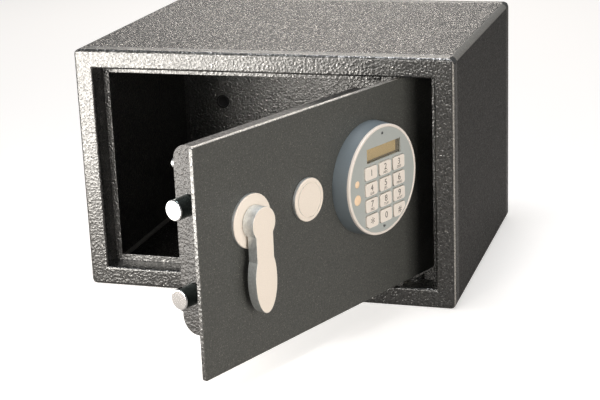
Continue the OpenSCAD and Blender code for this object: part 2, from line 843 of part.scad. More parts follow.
module solenoid_frame() {
  color("silver") in_door() difference() {
    translate([plunger_s - sol_w / 2, plate_t, sol_z0]) cube([sol_w, sol_d, sol_h]);
    translate([plunger_s - sol_w / 2 + sol_t, plate_t - 1, sol_z0 + sol_t])
      cube([sol_w - 2 * sol_t, sol_d + 2, sol_h - 2 * sol_t]);
    at_plunger(sol_z0 - 1) cylinder(h = sol_t + 2, r = plunger_d / 2 + seat);
  }
}

module solenoid_coil() {
  z0 = sol_z0 + sol_t;
  h = sol_h - 2 * sol_t;
  bobbin_d = sol_w - 2 * sol_t;
  cheek_t = 1.5;
  color("darkorange") in_door() difference() {
    at_plunger(z0) {
      cylinder(h = cheek_t, d = bobbin_d);
      cylinder(h = h, d = bobbin_d - 2);
      translate([0, 0, h - cheek_t]) cylinder(h = cheek_t, d = bobbin_d);
    }
    at_plunger(z0 - 1)
      cylinder(h = plunger_z1 + plunger_lift + seat + 1 - z0, r = plunger_d / 2 + plunger_fit);
  }
}

module solenoid_plunger() {
  color("gainsboro") in_door() {
    at_plunger(plunger_z0) cylinder(h = plunger_z1 - plunger_z0, d = plunger_d);
    at_plunger(collar_z) cylinder(h = collar_t, d = collar_d);
  }
}

// Points of one wire section of the spring, at a turn counted from its lower end
function spring_ring(turn, ring, height, sides) =
  [for (k = [0:sides - 1])
    let (a = 360 * k / sides, r = ring + spring_wire / 2 * cos(a))
    [r * cos(360 * turn), r * sin(360 * turn),
     height * turn / spring_turns + spring_wire / 2 * sin(a)]];

module plunger_spring() {
  sides = 8;
  steps = 16 * spring_turns;
  z0 = collar_z + collar_t + spring_wire / 2 + 0.05;
  height = sol_z0 - 0.1 - spring_wire - collar_z - collar_t;
  ring = plunger_d / 2 + spring_wire / 2 + 0.5;
  points = [for (i = [0:steps]) each spring_ring(i * spring_turns / steps, ring, height, sides)];
  side_faces = [for (i = [0:steps - 1], k = [0:sides - 1])
    let (a = i * sides + k, b = i * sides + (k + 1) % sides)
    each [[a, b, b + sides], [a, b + sides, a + sides]]];
  first = [for (k = [1:sides - 2]) [0, k + 1, k]];
  last = [for (k = [1:sides - 2]) [steps * sides, steps * sides + k, steps * sides + k + 1]];
  color("silver") in_door() at_plunger(z0)
    polyhedron(points, concat(side_faces, first, last));
}

// Key lock under its cover

module key_lock_body() {
  color("silver") in_door() turned(lock_s, lock_z) {
    inner = plug_d / 2 + plug_fit;
    translate([inner, -lock_head_t]) square([lock_head_d / 2 - inner, lock_head_t]);
    translate([inner, -eps]) square([barrel_d / 2 - inner, barrel_l + eps]);
  }
}

module key_lock_nut() {
  color("silver") in_door() slab(plate_t, plate_t + lock_nut_t)
    translate([lock_s, lock_z]) difference() {
      circle(d = lock_nut_d, $fn = 6);
      circle(d = barrel_d);
    }
}

module key_lock_plug() {
  color("gainsboro") in_door() difference() {
    slab(plug_n0, plug_n1)
      translate([lock_s, lock_z]) circle(d = plug_d);
    slab(plug_n0 - 1, keyway_n)
      translate([lock_s, lock_z]) square([keyway_w, keyway_h], center = true);
  }
}

module key_lock_cam() {
  color("silver") in_door() translate([lock_s, 0, lock_z]) {
    slab(plug_n1, plug_n1 + cam_t) {
      circle(cam_w / 2 + 1.5);
      translate([-cam_w / 2, -cam_l + cam_w / 2]) square([cam_w, cam_l - cam_w / 2]);
      translate([0, -cam_l + cam_w / 2]) circle(d = cam_w);
    }
    slab(plug_n1 + cam_t, plug_n1 + cam_t + 2) circle(d = cam_w - 2);
  }
}

module key_lock_cover() {
  r = cap_d / 2;
  front = -cap_t - seat;
  color("linen") in_door() turned(lock_s, lock_z) difference() {
    polygon([[0, -seat], [r, -seat], [r, front + 1], [r - 0.3, front + 0.3], [r - 1, front],
             [0, front]]);
    translate([-1, front + cap_wall]) square([r - cap_wall + 1, cap_t]);
    translate([cap_ring_d / 2, front - 1]) square([0.6, 1 + cap_wall / 2]);
  }
}

// Keypad

module at_pad() {
  translate([pad_s, pad_z]) children();
}

module at_posts() {
  at_pad() for (side = [-1, 1]) translate([0, side * pad_screw_z]) children();
}

module keypad_housing() {
  front_r = pad_back_r - pad_draft / 2 * (pad_h - rim_h) / pad_h;
  inner_r = pad_r - pad_wall;
  ledge_r = inner_r - ledge_w;
  color("slategray") in_door() {
    turned(pad_s, pad_z) {
      polygon([[inner_r, 0], [pad_back_r, 0], [front_r, rim_n], [inner_r, rim_n]]);
      translate([ledge_r, -board_n]) square([inner_r - ledge_r + eps, board_n]);
    }
    slab(face_back, -board_n + eps) at_posts() circle(d = post_d);
  }
}

module keypad_rim() {
  inner = pad_r - rim_w;
  color("linen") in_door() turned(pad_s, pad_z)
    polygon([[inner, rim_n], [pad_r, rim_n], [pad_r, -pad_h + 0.9], [pad_r - 0.3, -pad_h + 0.3],
             [pad_r - 0.9, -pad_h], [inner + 0.5, -pad_h], [inner, -pad_h + 0.4]]);
}

// Column and row of each key, counted from the upper left
function key_s(col) = keys_s + (col - 1) * key_pitch_s;
function key_z(row) = -keys_z + (1.5 - row) * key_pitch_z;

// Key outline grown by an amount and kept inside the face plate's round edge
module key_outline(col, row, grow) {
  intersection() {
    translate([key_s(col), key_z(row)])
      round_rect(key_w + 2 * grow, key_h + 2 * grow, key_r);
    circle(key_clip_r + grow);
  }
}

module keypad_face() {
  color("darkgray") in_door() slab(face_n, face_back) at_pad() difference() {
    circle(face_r);
    for (col = [0:2], row = [0:3]) key_outline(col, row, seat);
    translate([keys_s, lcd_z]) square([lcd_w, lcd_h], center = true);
    translate([-lens_s, lens_small_z]) circle(d = lens_small_d);
    translate([-lens_s, lens_large_z]) circle(d = lens_large_d);
    for (side = [-1, 1]) translate([0, side * pad_screw_z]) circle(d = pad_shank_d);
  }
}

module display_window() {
  color("goldenrod") in_door() slab(face_back, face_back + window_t) at_pad()
    translate([keys_s, lcd_z]) square([lcd_w + 2 * window_lap, lcd_h + 2 * window_lap], center = true);
}

module display_module() {
  color("dimgray") in_door() slab(face_back + window_t, board_front) at_pad()
    translate([keys_s, lcd_z]) square([lcd_w + 2 * window_lap, lcd_h + 2 * window_lap], center = true);
}

module circuit_board() {
  color("green") in_door() slab(board_front, -board_n) difference() {
    at_pad() circle(pad_r - pad_wall - board_edge);
    at_posts() circle(d = post_d);
  }
}

module key_switches() {
  color("black") in_door() at_keys() {
    slab(board_front - switch_t, board_front) square(4.5, center = true);
    slab(switch_n, board_front - switch_t) circle(1.2);
  }
}

// Places the children behind the middle of each key
module at_keys() {
  for (col = [0:2], row = [0:3])
    translate([pad_s + key_s(col), 0, pad_z + key_z(row)]) children();
}

module keypad_screws() {
  color("dimgray") in_door() {
    slab(face_n - 0.5, face_n) at_posts() difference() {
      circle(d = pad_screw_d);
      square([pad_screw_d * 0.7, 0.3], center = true);
    }
    slab(face_n, face_back) at_posts() circle(d = pad_shank_d);
  }
}

module status_lens(z, d) {
  color("sandybrown") in_door() turned(pad_s - lens_s, pad_z + z) {
    polygon([[0, face_n - 0.5], [d / 4, face_n - 0.4], [d / 2, face_n], [d / 2, face_back],
             [0, face_back]]);
    translate([0, face_back]) square([d / 2 + window_lap, window_t]);
  }
}

module status_lens_small() { status_lens(lens_small_z, lens_small_d); }
module status_lens_large() { status_lens(lens_large_z, lens_large_d); }

module key_cap(col, row) {
  front_n = face_n - key_proud;
  color("linen") in_door() {
    slab(front_n, key_flange_n) at_pad() key_outline(col, row, 0);
    slab(key_flange_n, key_flange_n + key_flange_t) at_pad() key_outline(col, row, key_flange);
    translate([pad_s + key_s(col), 0, pad_z + key_z(row)])
      slab(key_flange_n + key_flange_t, key_stem_n) circle(d = 3);
  }
}

module key_1() { key_cap(0, 0); }
module key_2() { key_cap(1, 0); }
module key_3() { key_cap(2, 0); }
module key_4() { key_cap(0, 1); }
module key_5() { key_cap(1, 1); }
module key_6() { key_cap(2, 1); }
module key_7() { key_cap(0, 2); }
module key_8() { key_cap(1, 2); }
module key_9() { key_cap(2, 2); }
module key_star() { key_cap(0, 3); }
module key_0() { key_cap(1, 3); }
module key_hash() { key_cap(2, 3); }

// Batteries and the reset switch, reached from the rear of the lock case

module battery_box() {
  n1 = case_n - case_t;
  color("black") in_door() difference() {
    slab(bat_n0, n1) translate([bat_mid_s, bat_mid_z])
      square([bat_in_w + 2 * bat_wall, bat_in_h + 2 * bat_wall], center = true);
    slab(bat_n0 + bat_wall, n1 + 1) translate([bat_mid_s, bat_mid_z])
      square([bat_in_w, bat_in_h], center = true);
  }
}

module battery_cells() {
  nub = 1.2;
  color("peru") in_door() for (i = [0:cell_count - 1])
    translate([bat_mid_s + (i - (cell_count - 1) / 2) * cell_pitch, cell_n, bat_mid_z])
      rotate([i % 2 * 180, 0, 0]) translate([0, 0, -cell_l / 2]) {
        cylinder(h = cell_l - nub, d = cell_d);
        cylinder(h = cell_l, d = 5.5);
      }
}

module battery_cover() {
  n0 = case_n + seat;
  tab_w = 12;
  color("dimgray") in_door() {
    slab(n0, n0 + cover_t) translate([bat_mid_s, bat_mid_z])
      round_rect(bat_in_w + 2 * cover_border, bat_in_h + 2 * cover_border, 3);
    for (side = [-1, 1]) slab(case_n - case_t - 0.6, n0)
      translate([bat_mid_s, bat_mid_z + side * (bat_in_h / 2 - seat - 0.6)])
        square([tab_w, 1.2], center = true);
  }
}

module reset_switch() {
  bore_r = reset_d / 2 + 0.05;
  lip_r = reset_body_r + 1.5;
  color("black") in_door() turned(reset_s, reset_z)
    polygon([[0, reset_n0], [reset_body_r, reset_n0], [reset_body_r, case_n], [lip_r, case_n],
             [lip_r, reset_lip_n], [bore_r, reset_lip_n], [bore_r, reset_floor_n],
             [0, reset_floor_n]]);
}

module reset_button() {
  r = reset_d / 2;
  n0 = reset_floor_n + reset_travel + seat;
  n1 = reset_lip_n + reset_travel + seat;
  color("firebrick") in_door() turned(reset_s, reset_z)
    polygon([[0, n0], [r, n0], [r, n1 - 0.4], [r - 0.4, n1], [0, n1]]);
}

body_shell();
front_frame();
rear_panel();
hinge_bracket_upper();
hinge_bracket_lower();
hinge_pin_upper();
hinge_pin_lower();
hinge_washers();
door_plate();
lock_case();
case_screws();
hinge_block_upper();
hinge_block_lower();
handle_rosette();
spindle_bush();
lever_handle();
handle_spindle();
spindle_crank();
bolt_bar();
bolt_upper();
bolt_lower();
bolt_guide();
solenoid_frame();
solenoid_coil();
solenoid_plunger();
plunger_spring();
key_lock_body();
key_lock_nut();
key_lock_plug();
key_lock_cam();
key_lock_cover();
keypad_housing();
keypad_rim();
keypad_face();
display_window();
display_module();
circuit_board();
key_switches();
keypad_screws();
status_lens_small();
status_lens_large();
key_1();
key_2();
key_3();
key_4();
key_5();
key_6();
key_7();
key_8();
key_9();
key_star();
key_0();
key_hash();
battery_box();
battery_cells();
battery_cover();
reset_switch();
reset_button();
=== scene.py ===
"""Security box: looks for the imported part, in the order in which the box is put together."""

import json
import math

import bpy
from mathutils import Matrix, Vector

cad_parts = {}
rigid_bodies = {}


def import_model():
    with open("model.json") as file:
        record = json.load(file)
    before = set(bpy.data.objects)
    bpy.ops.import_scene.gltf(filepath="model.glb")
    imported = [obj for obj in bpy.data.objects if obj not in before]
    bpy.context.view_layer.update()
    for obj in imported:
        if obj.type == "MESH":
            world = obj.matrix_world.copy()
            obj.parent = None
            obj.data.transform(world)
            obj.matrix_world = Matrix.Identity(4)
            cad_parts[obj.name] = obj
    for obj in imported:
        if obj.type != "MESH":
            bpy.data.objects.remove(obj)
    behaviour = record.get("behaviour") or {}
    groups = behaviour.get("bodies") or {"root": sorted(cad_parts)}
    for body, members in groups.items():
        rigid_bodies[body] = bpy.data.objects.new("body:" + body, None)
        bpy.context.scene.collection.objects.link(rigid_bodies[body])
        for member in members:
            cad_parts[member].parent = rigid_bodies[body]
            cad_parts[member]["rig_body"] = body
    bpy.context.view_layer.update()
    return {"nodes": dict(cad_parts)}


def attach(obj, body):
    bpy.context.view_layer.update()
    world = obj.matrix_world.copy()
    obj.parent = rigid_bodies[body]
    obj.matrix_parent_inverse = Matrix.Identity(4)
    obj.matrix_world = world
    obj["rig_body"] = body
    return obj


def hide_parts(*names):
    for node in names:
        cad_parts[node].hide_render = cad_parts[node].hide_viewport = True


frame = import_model()


# Studio: a plain white table that runs on behind the box, five softboxes, and a camera at the
# photograph's viewing angle. The table is white to the eye and takes the soft shadow of the box,
# but it stays faint in gloss, so that the coats show the softboxes rather than the table.
def linear(hex_colour):
    """sRGB hex value as the linear colour that a shader wants."""
    parts = [int(hex_colour[i : i + 2], 16) / 255 for i in (1, 3, 5)]
    return [c / 12.92 if c <= 0.04045 else ((c + 0.055) / 1.055) ** 2.4 for c in parts] + [1]


def add(tree, kind, settings=None, links=None):
    """Adds one shader node: numbered or capitalised settings are sockets, others properties."""
    made = tree.nodes.new("ShaderNode" + kind)
    for name, value in (settings or {}).items():
        if isinstance(name, int) or name[0].isupper():
            made.inputs[name].default_value = value
        else:
            setattr(made, name, value)
    for name, (source, output) in (links or {}).items():
        tree.links.new(source.outputs[output], made.inputs[name])
    return made


def seen_white(tree, rays):
    """Share of white that a ray meets: all for the camera, a little for gloss and windows."""
    indirect = {0: (rays, "Is Glossy Ray"), 1: (rays, "Is Transmission Ray")}
    mirrored = add(tree, "Math", {"operation": "MAXIMUM"}, indirect)
    shares = {0: (mirrored, 0), 2: (rays, "Is Camera Ray")}
    return add(tree, "Math", {"operation": "MULTIPLY_ADD", 1: 0.15}, shares)


bpy.ops.object.select_all(action="DESELECT")
bpy.ops.mesh.primitive_plane_add(size=9, location=(0, 1.5, 0))
table_top = bpy.context.object
table_top.name = "table_top"

# White laminate: matte, with the glow of a table that is lit from end to end. It throws back
# less light than it shows, which keeps the lower parts of the box dark.
white_table = bpy.data.materials.new("white_table_laminate")
white_table.use_nodes = True
tree = white_table.node_tree
tree.nodes.clear()
rays = add(tree, "LightPath")
seen = seen_white(tree, rays)
glow = add(tree, "Math", {"operation": "MULTIPLY", 1: 0.55}, {0: (seen, 0)})
tones = {"data_type": "RGBA", 6: linear("#8f8b87"), 7: (0.68, 0.665, 0.655, 1)}
whitened = add(tree, "Mix", tones, {0: (rays, "Is Camera Ray")})
matte = add(tree, "BsdfDiffuse", {}, {"Color": (whitened, 2)})
light = add(tree, "Emission", {"Color": linear("#fffefc")}, {"Strength": (glow, 0)})
both = add(tree, "AddShader", {}, {0: (matte, 0), 1: (light, 0)})
add(tree, "OutputMaterial", {}, {"Surface": (both, 0)})
table_top.data.materials.append(white_table)

world = bpy.data.worlds.new("white_studio")
bpy.context.scene.world = world
world.use_nodes = True
tree = world.node_tree
tree.nodes.clear()
rays = add(tree, "LightPath")
seen = seen_white(tree, rays)
fill = add(tree, "Background", {"Color": linear("#e6eaee"), "Strength": 0.08})
backdrop = add(tree, "Background", {"Color": (1, 1, 1, 1), "Strength": 1})
choice = add(tree, "MixShader", {}, {"Fac": (seen, 0), 1: (fill, 0), 2: (backdrop, 0)})
add(tree, "OutputWorld", {}, {"Surface": (choice, 0)})

# The camera looks down and to the left, with a slight roll.
yaw, pitch, roll = math.radians(17.74), math.radians(17.36), math.radians(-2.31)
level = math.cos(pitch)
ahead = Vector((-math.sin(yaw) * level, math.cos(yaw) * level, -math.sin(pitch)))
level_right = Vector((math.cos(yaw), math.sin(yaw), 0))
level_up = level_right.cross(ahead)
right = math.cos(roll) * level_right + math.sin(roll) * level_up
up = -math.sin(roll) * level_right + math.cos(roll) * level_up
lens = bpy.data.cameras.new("camera")
lens.sensor_fit = "HORIZONTAL"
lens.sensor_width = 36
lens.lens = 92.46
lens.clip_start, lens.clip_end = 0.02, 50
camera = bpy.data.objects.new("camera", lens)
bpy.context.scene.collection.objects.link(camera)
camera_turn = Matrix((right, up, -ahead)).transposed().to_4x4()
camera.matrix_world = Matrix.Translation((0.3837, -1.2234, 0.4455)) @ camera_turn
bpy.context.scene.camera = camera
bpy.context.scene.view_settings.view_transform = "Standard"

# The softboxes all face the opening. The low one at the front left is the one whose mirror image
# makes the frame's left border pale. The one at the right gives light but isn't seen in gloss,
# because its mirror image would burn out the shell's top in views from behind.
opening = Vector((0.03, -0.12, 0.1))
for name, place, width, height, power, tint in (
    ("lamp_right", (1.08, -0.8, 0.27), 0.8, 0.54, 11.6, "#fffaf4"),
    ("lamp_front", (-0.2, -1.1, 0.5), 0.3, 0.3, 3, "#fffaf4"),
    ("lamp_front_left", (-0.28, -0.39, 0.115), 0.42, 0.25, 2.5, "#fffaf4"),
    ("lamp_back", (-0.4, 1.5, 0.84), 0.9, 0.3, 5, "#fff7ee"),
    ("lamp_top", (0.0, -0.1, 1.8), 0.6, 0.6, 18, "#fbfcff"),
):
    softbox = bpy.data.lights.new(name, "AREA")
    softbox.shape = "RECTANGLE"
    softbox.size, softbox.size_y = width, height
    softbox.energy = power
    softbox.color = linear(tint)[:3]
    lamp = bpy.data.objects.new(name, softbox)
    lamp.visible_camera = False
    lamp.visible_glossy = name != "lamp_right"
    bpy.context.scene.collection.objects.link(lamp)
    lamp.location = place
    lamp.rotation_mode = "QUATERNION"
    lamp.rotation_quaternion = (opening - Vector(place)).to_track_quat("-Z", "Y")


# Cabinet: shell, front frame and rear panel of 2 mm steel sheet, folded, welded and powder
# coated. The coat is grey with a hammered texture: small glossy bumps that catch the lamps.
def grained(name, grain_mm, detail, more=None):
    """New material: itself, its node tree, its shader, and noise with grains grain_mm apart."""
    made = bpy.data.materials.new(name)
    made.use_nodes = True
    tree = made.node_tree
    place = add(tree, "TexCoord")
    settings = {"Scale": 1000 / grain_mm, "Detail": detail, **(more or {})}
    grain = add(tree, "TexNoise", settings, {"Vector": (place, "Object")})
    return made, tree, tree.nodes["Principled BSDF"], grain


def toned(tree, grain, low_at, low, high_at, high):
    """Colour that runs from low to high while the grain rises from low_at to high_at."""
    tone = add(tree, "ValToRGB", {}, {"Fac": (grain, "Fac")})
    low_stop, high_stop = tone.color_ramp.elements
    low_stop.position, low_stop.color = low_at, low
    high_stop.position, high_stop.color = high_at, high
    return tone


def paint(
    name, low, high, flake, bump_mm, grain_mm, roughness, flakes_from, gloss=0, glitter=1, lustre=0
):
    """Powder coat with bumps up to bump_mm high and grain_mm apart, toned low in the dips and
    high on top. Flakes lie where a finer noise passes flakes_from. Glitter says how metallic they
    are, lustre how metallic the whole coat is, and gloss how much clear coat lies over it."""
    made, tree, shader, bumps = grained(name, grain_mm, 1.5, {"Roughness": 0.55})
    place = add(tree, "TexCoord")
    finer = {"Scale": 1400 / grain_mm, "Detail": 1.0}
    specks = add(tree, "TexNoise", finer, {"Vector": (place, "Object")})
    above = {"From Min": flakes_from, "From Max": flakes_from + 0.05}
    bright = add(tree, "MapRange", above, {"Value": (specks, "Fac")})
    tone = toned(tree, bumps, 0.36, linear(low), 0.66, linear(high))
    sources = {0: (bright, "Result"), 6: (tone, "Color")}
    colour = add(tree, "Mix", {"data_type": "RGBA", 7: linear(flake)}, sources)
    dips, tops = roughness + 0.06, roughness - 0.05
    span = {"From Min": 0.3, "From Max": 0.7, "To Min": dips, "To Max": tops}
    sheen = add(tree, "MapRange", span, {"Value": (bumps, "Fac")})
    depth = {"Strength": 1, "Distance": bump_mm / 1000}
    relief = add(tree, "Bump", depth, {"Height": (bumps, "Fac")})
    blend = {"operation": "MULTIPLY_ADD", "use_clamp": True, 1: glitter, 2: lustre}
    metallic = add(tree, "Math", blend, {0: (bright, "Result")})
    tree.links.new(colour.outputs[2], shader.inputs["Base Color"])
    tree.links.new(metallic.outputs[0], shader.inputs["Metallic"])
    tree.links.new(sheen.outputs["Result"], shader.inputs["Roughness"])
    tree.links.new(relief.outputs["Normal"], shader.inputs["Normal"])
    shader.inputs["IOR"].default_value = 1.7
    shader.inputs["Coat Weight"].default_value = gloss
    shader.inputs["Coat Roughness"].default_value = 0.14
    return made


def coat(material, *nodes):
    """Gives CAD nodes that stay in view a material."""
    for node in nodes:
        mesh = frame["nodes"][node].data
        mesh.materials.clear()
        mesh.materials.append(material)


def rounded(piece, width_mm, segments, angle_deg=30):
    """Rounds the active piece's edges that are sharper than the angle."""
    edges = piece.modifiers.new("edges", "BEVEL")
    edges.limit_method = "ANGLE"
    edges.angle_limit = math.radians(angle_deg)
    edges.width = width_mm / 1000
    edges.segments = segments
    bpy.ops.object.modifier_apply(modifier=edges.name)


def softened(node, width_mm, *materials, segments=3):
    """Copy of a CAD node with its sharp edges rounded, which stands in for the node. The loose
    triangles of its flat faces are joined first."""
    mesh = frame["nodes"][node].data.copy()
    piece = bpy.data.objects.new(node + "_finish", mesh)
    bpy.context.scene.collection.objects.link(piece)
    bpy.ops.object.select_all(action="DESELECT")
    piece.select_set(True)
    bpy.context.view_layer.objects.active = piece
    bpy.ops.object.mode_set(mode="EDIT")
    bpy.ops.mesh.select_all(action="SELECT")
    bpy.ops.mesh.remove_doubles(threshold=1e-6)
    bpy.ops.mesh.dissolve_limited(angle_limit=math.radians(0.6))
    bpy.ops.object.mode_set(mode="OBJECT")
    rounded(piece, width_mm, segments, 28)
    bpy.ops.object.shade_smooth_by_angle(angle=math.radians(32))
    evened = piece.modifiers.new("evened", "WEIGHTED_NORMAL")
    evened.keep_sharp = True
    bpy.ops.object.modifier_apply(modifier=evened.name)
    mesh.materials.clear()
    for material in materials:
        mesh.materials.append(material)
    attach(piece, frame["nodes"][node]["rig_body"])
    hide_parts(node)
    return piece


# Hammered powder coat, full of aluminium flakes, on the frame: it mirrors the softboxes softly,
# so that one side is pale and the other dark. Its bumps are drawn 1.9 mm apart, a little coarser
# than the real 1.5 mm so that they show.
hammered_coat = paint(
    "hammered_powder_coat", "#5b5b5a", "#7b7b7a", "#c5c3bf",
    bump_mm=0.7, grain_mm=1.9, roughness=0.3, flakes_from=0.69, gloss=0.2, lustre=0.97,
)
# The same powder on the shell: dark dips and bright flakes, which make the top look speckled. It
# is seen at a grazing angle, so its bumps are drawn coarser still, 2.3 mm apart.
shell_coat = paint(
    "coarse_hammered_coat", "#1d1d1c", "#31302e", "#b0aeab",
    bump_mm=1.6, grain_mm=2.3, roughness=0.22, flakes_from=0.56,
)
# Painted highlight: a pale coat with close flakes on chosen outer edges, which draws the bright
# line that lamp light makes along them.
edge_highlight_coat = paint(
    "bright_edge_coat", "#7a7773", "#b3b0aa", "#e2dfd9",
    bump_mm=0.6, grain_mm=1.5, roughness=0.36, flakes_from=0.5, gloss=0.3,
)
# The shell's sides: rougher powder with fewer flakes and less shine, and a darker grey than
# the top, which is painted shade.
shaded_side_coat = paint(
    "dull_hammered_coat", "#171716", "#282725", "#8b8985",
    bump_mm=1.7, grain_mm=1.9, roughness=0.46, flakes_from=0.62,
)
# Painted highlight: a pale coat, nearly without bumps, round the shell's upper corners, which
# draws the soft light band that lamp light makes there.
corner_highlight_coat = paint(
    "smooth_corner_coat", "#7b7975", "#8d8b86", "#9c9a94",
    bump_mm=0.3, grain_mm=1.7, roughness=0.4, flakes_from=0.6, gloss=0.3, glitter=0.6, lustre=0.2,
)
shell = softened("body_shell", 0.3, shell_coat, shaded_side_coat, corner_highlight_coat)
for face in shell.data.polygons:
    # The sides take the darker coat, painted shade.
    side_in_shade = abs(face.normal.x) > 0.75
    # The upper corners take the painted highlight.
    highlighted_corner = face.normal.z > 0.3 and abs(face.normal.x) > 0.25
    face.material_index = 2 if highlighted_corner else 1 if side_in_shade else 0
# The painted edge highlight lies on the outer edges beyond these, at the right and at the top.
frame_right, frame_top = 0.153, 0.1985
for node in ("front_frame", "rear_panel"):
    piece = softened(node, 0.5, hammered_coat, edge_highlight_coat)
    for face in piece.data.polygons:
        side_highlight = face.center.x > frame_right and 0.5 < abs(face.normal.y) < 0.86
        top_highlight = face.center.z > frame_top and 0.1 < abs(face.normal.y) < 0.34
        face.material_index = 1 if side_highlight or top_highlight else 0

# Hinge: bent steel brackets welded into the cabinet, zinc-plated pins, nylon washers between
# bracket and block, and blocks welded behind the door plate, painted with it.
for node in ("hinge_bracket_upper", "hinge_bracket_lower"):
    softened(node, 0.4, hammered_coat)


def shades(colour, darker, paler):
    """A colour times each of the two factors."""
    base = linear(colour)[:3]
    return [c * darker for c in base] + [1], [min(1, c * paler) for c in base] + [1]


def metal(name, colour, roughness, brush_mm):
    """Bare or plated metal with soft clouds or streaks brush_mm apart. The real ones are finer
    than a pixel, so these are drawn coarser."""
    made, tree, shader, streaks = grained(name, brush_mm, 3)
    low, high = shades(colour, 0.86, 1.06)
    tone = toned(tree, streaks, 0.3, low, 0.7, high)
    span = {"To Min": roughness * 0.85, "To Max": roughness * 1.25}
    wear = add(tree, "MapRange", span, {"Value": (streaks, "Fac")})
    tree.links.new(tone.outputs["Color"], shader.inputs["Base Color"])
    tree.links.new(wear.outputs["Result"], shader.inputs["Roughness"])
    shader.inputs["Metallic"].default_value = 1
    return made


def moulded(name, colour, roughness, grain_mm, depth_mm):
    """Plastic, lacquer or film with an even grain, grain_mm apart and up to depth_mm deep. The
    real grain, under 0.1 mm, is too fine to show, so this one is drawn coarser."""
    made, tree, shader, grain = grained(name, grain_mm, 2)
    low, high = shades(colour, 0.95, 1.03)
    tone = toned(tree, grain, 0.3, low, 0.7, high)
    depth = {"Strength": 0.5, "Distance": depth_mm / 1000}
    relief = add(tree, "Bump", depth, {"Height": (grain, "Fac")})
    tree.links.new(tone.outputs["Color"], shader.inputs["Base Color"])
    tree.links.new(relief.outputs["Normal"], shader.inputs["Normal"])
    shader.inputs["Roughness"].default_value = roughness
    shader.inputs["IOR"].default_value = 1.49
    return made


# Zinc plate on steel: a half dull blue-white with faint clouds.
zinc_plate = metal("zinc_plated_steel", "#b9bcbd", 0.34, 2.5)
coat(zinc_plate, "hinge_pin_upper", "hinge_pin_lower")
# Undyed nylon: creamy white with a soft shine.
natural_nylon = moulded("natural_nylon", "#dcd8cb", 0.45, 0.6, 0.02)
coat(natural_nylon, "hinge_washers")


# Anchor holes: each 10 mm hole in the rear panel and the floor is closed by a dished plug of
# black polyethylene, pushed in from the inside. It is pulled out before the box is bolted down.
def inset_and_move(piece, side, inset_mm, out_mm):
    """Insets the active piece's faces that look to one side, and moves them out that way."""
    bpy.ops.object.mode_set(mode="EDIT")
    bpy.ops.mesh.select_mode(type="FACE")
    bpy.ops.mesh.select_all(action="DESELECT")
    bpy.ops.object.mode_set(mode="OBJECT")
    for face in piece.data.polygons:
        face.select = face.normal.dot(side) > 0.9
    bpy.ops.object.mode_set(mode="EDIT")
    bpy.ops.mesh.inset(thickness=inset_mm / 1000, depth=0)
    step = side * (out_mm / 1000)
    bpy.ops.mesh.extrude_region_move(TRANSFORM_OT_translate={"value": step})
    bpy.ops.object.mode_set(mode="OBJECT")


# Black plastic from a finely eroded mould: deep black with a dull shine.
black_plastic = moulded("black_moulded_plastic", "#1b1b1d", 0.4, 0.6, 0.02)
flange_radius, flange_thick = 0.0064, 0.0014
dish_rim_mm, dish_mm = 1.4, 0.7
shoulder_mm, shank_mm = 1.8, 1.9
bpy.ops.object.select_all(action="DESELECT")
bpy.ops.mesh.primitive_cylinder_add(
    vertices=48, radius=flange_radius, depth=flange_thick, location=(0, 0, flange_thick / 2)
)
first_plug = bpy.context.object
inset_and_move(first_plug, Vector((0, 0, 1)), dish_rim_mm, -dish_mm)
inset_and_move(first_plug, Vector((0, 0, -1)), shoulder_mm, shank_mm)
rounded(first_plug, 0.3, 3)
bpy.ops.object.shade_smooth_by_angle(angle=math.radians(40))
first_plug.data.transform(first_plug.matrix_world)
first_plug.location = (0, 0, 0)
floor_top, rear_inside = 0.00202, 0.11798
upright = Matrix.Rotation(math.radians(90), 4, "X")
for count, (spot, plug_turn) in enumerate((
    ((-0.09, 0, floor_top), Matrix()),
    ((0.09, 0, floor_top), Matrix()),
    ((-0.118, rear_inside, 0.1), upright),
    ((0.118, rear_inside, 0.1), upright),
)):
    mesh = first_plug.data.copy()
    mesh.transform(Matrix.Translation(spot) @ plug_turn)
    plug = bpy.data.objects.new(f"anchor_plug_{count + 1}", mesh)
    bpy.context.scene.collection.objects.link(plug)
    mesh.materials.append(black_plastic)
    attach(plug, "cabinet")
bpy.data.objects.remove(first_plug)

# Door plate: 4 mm steel plate with the same grey coat, sprayed finer on the flat front. Its
# edges are broken with a file before coating, and the bright line along its top is painted
# highlight.
outward = Vector((0.927184, -0.374607, 0))


def two_finishes(piece):
    """Faces that look out of the door keep the first material, the others take the second."""
    for face in piece.data.polygons:
        face.material_index = 0 if face.normal.dot(outward) > 0.35 else 1


# Fine powder coat: low bumps 1.2 mm apart, even and with little shine.
door_coat = paint(
    "fine_powder_coat", "#444542", "#545552", "#908e88",
    bump_mm=0.35, grain_mm=1.2, roughness=0.42, flakes_from=0.66, glitter=0.5,
)
piece = softened("door_plate", 0.9, door_coat, hammered_coat, edge_highlight_coat)
two_finishes(piece)
# The top face takes the painted edge highlight.
for face in piece.data.polygons:
    if face.normal.z > 0.6:
        face.material_index = 2
for node in ("hinge_block_upper", "hinge_block_lower"):
    softened(node, 0.5, hammered_coat)

# Lock case: a box of 1.2 mm sheet with a rounded top and bottom edge, spot welded behind the
# plate, with four zinc-plated screws in its rear. Its thin coat has few flakes, so it shows
# dark dips between bumps that are drawn 2.1 mm apart, coarser than the real ones.
case_coat = paint(
    "thin_hammered_coat", "#1a1a19", "#2b2927", "#4a4846",
    bump_mm=1.2, grain_mm=2.1, roughness=0.42, flakes_from=0.6, glitter=0.5,
)
softened("lock_case", 0.5, case_coat)
softened("case_screws", 0.3, zinc_plate)
